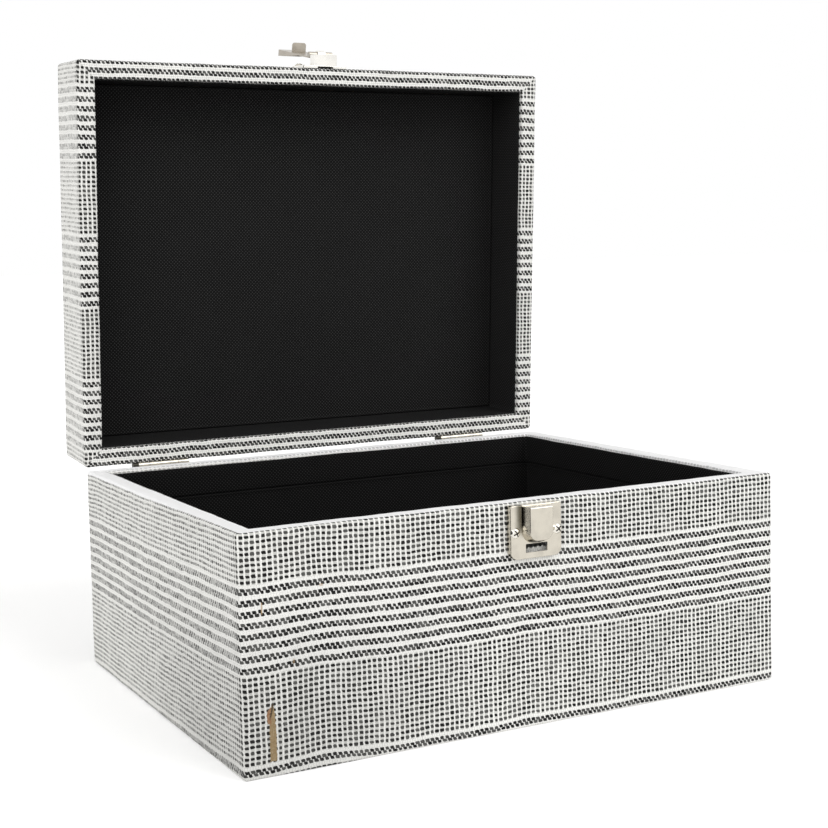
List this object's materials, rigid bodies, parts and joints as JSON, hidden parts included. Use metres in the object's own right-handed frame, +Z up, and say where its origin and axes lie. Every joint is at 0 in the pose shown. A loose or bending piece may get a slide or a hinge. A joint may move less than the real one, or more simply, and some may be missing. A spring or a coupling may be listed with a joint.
{
  "type": "wooden storage box",
  "caption": "Cloth-covered wooden box with a deep hinged lid that stands open, black lining, and a nickel hasp and catch on the front.",
  "frame": {"origin": "middle of the underside, where the box stands", "axes": "+Z up, front with the catch towards -Y, +X to the right seen from the front"},
  "size_m": [0.3, 0.2795, 0.3596],
  "materials": {
    "check_cloth": "coarse off-white woven cloth with black checks and dashes",
    "lining_cloth": "fine black woven lining",
    "underside_felt": "thin black felt",
    "fibreboard": "raw fibreboard",
    "card": "plain card",
    "nickel": "bright nickel plate",
    "steel": "plated steel"
  },
  "bodies": {
    "box": {"base_panel": "fibreboard", "front_board": "fibreboard", "back_board": "fibreboard", "left_board": "fibreboard", "right_board": "fibreboard", "box_cloth": "check_cloth", "base_cover": "underside_felt", "floor_card": "card", "floor_lining": "lining_cloth", "front_card": "card", "back_card": "card", "left_card": "card", "right_card": "card", "front_lining": "lining_cloth", "back_lining": "lining_cloth", "left_lining": "lining_cloth", "right_lining": "lining_cloth", "lining_band": "lining_cloth", "catch_plate": "nickel", "catch_screws": "nickel", "box_hinge_screws": "steel", "left_hinge_box_leaf": "nickel", "right_hinge_box_leaf": "nickel", "left_hinge_pin": "steel", "right_hinge_pin": "steel"},
    "lid": {"lid_panel": "fibreboard", "lid_front_board": "fibreboard", "lid_back_board": "fibreboard", "lid_left_board": "fibreboard", "lid_right_board": "fibreboard", "lid_cloth": "check_cloth", "lid_side_lining": "lining_cloth", "lid_lining_card": "card", "lid_top_lining": "lining_cloth", "lid_hinge_screws": "steel", "hasp_bracket": "nickel", "bracket_screws": "nickel", "hasp_pin": "steel", "left_hinge_lid_leaf": "nickel", "right_hinge_lid_leaf": "nickel"},
    "hasp": {"hasp": "nickel"}
  },
  "joints": [
    {"name": "lid_hinge", "type": "hinge", "parent": "box", "child": "lid", "pos_m": [0, 0.11515, 0.11055], "axis": [1, 0, 0], "range_deg": [0, 86.6]},
    {"name": "hasp_hinge", "type": "hinge", "parent": "lid", "child": "hasp", "pos_m": [0.0012, 0.10959, 0.34824], "axis": [1, 0, 0], "range_deg": [0, 171]}
  ]
}
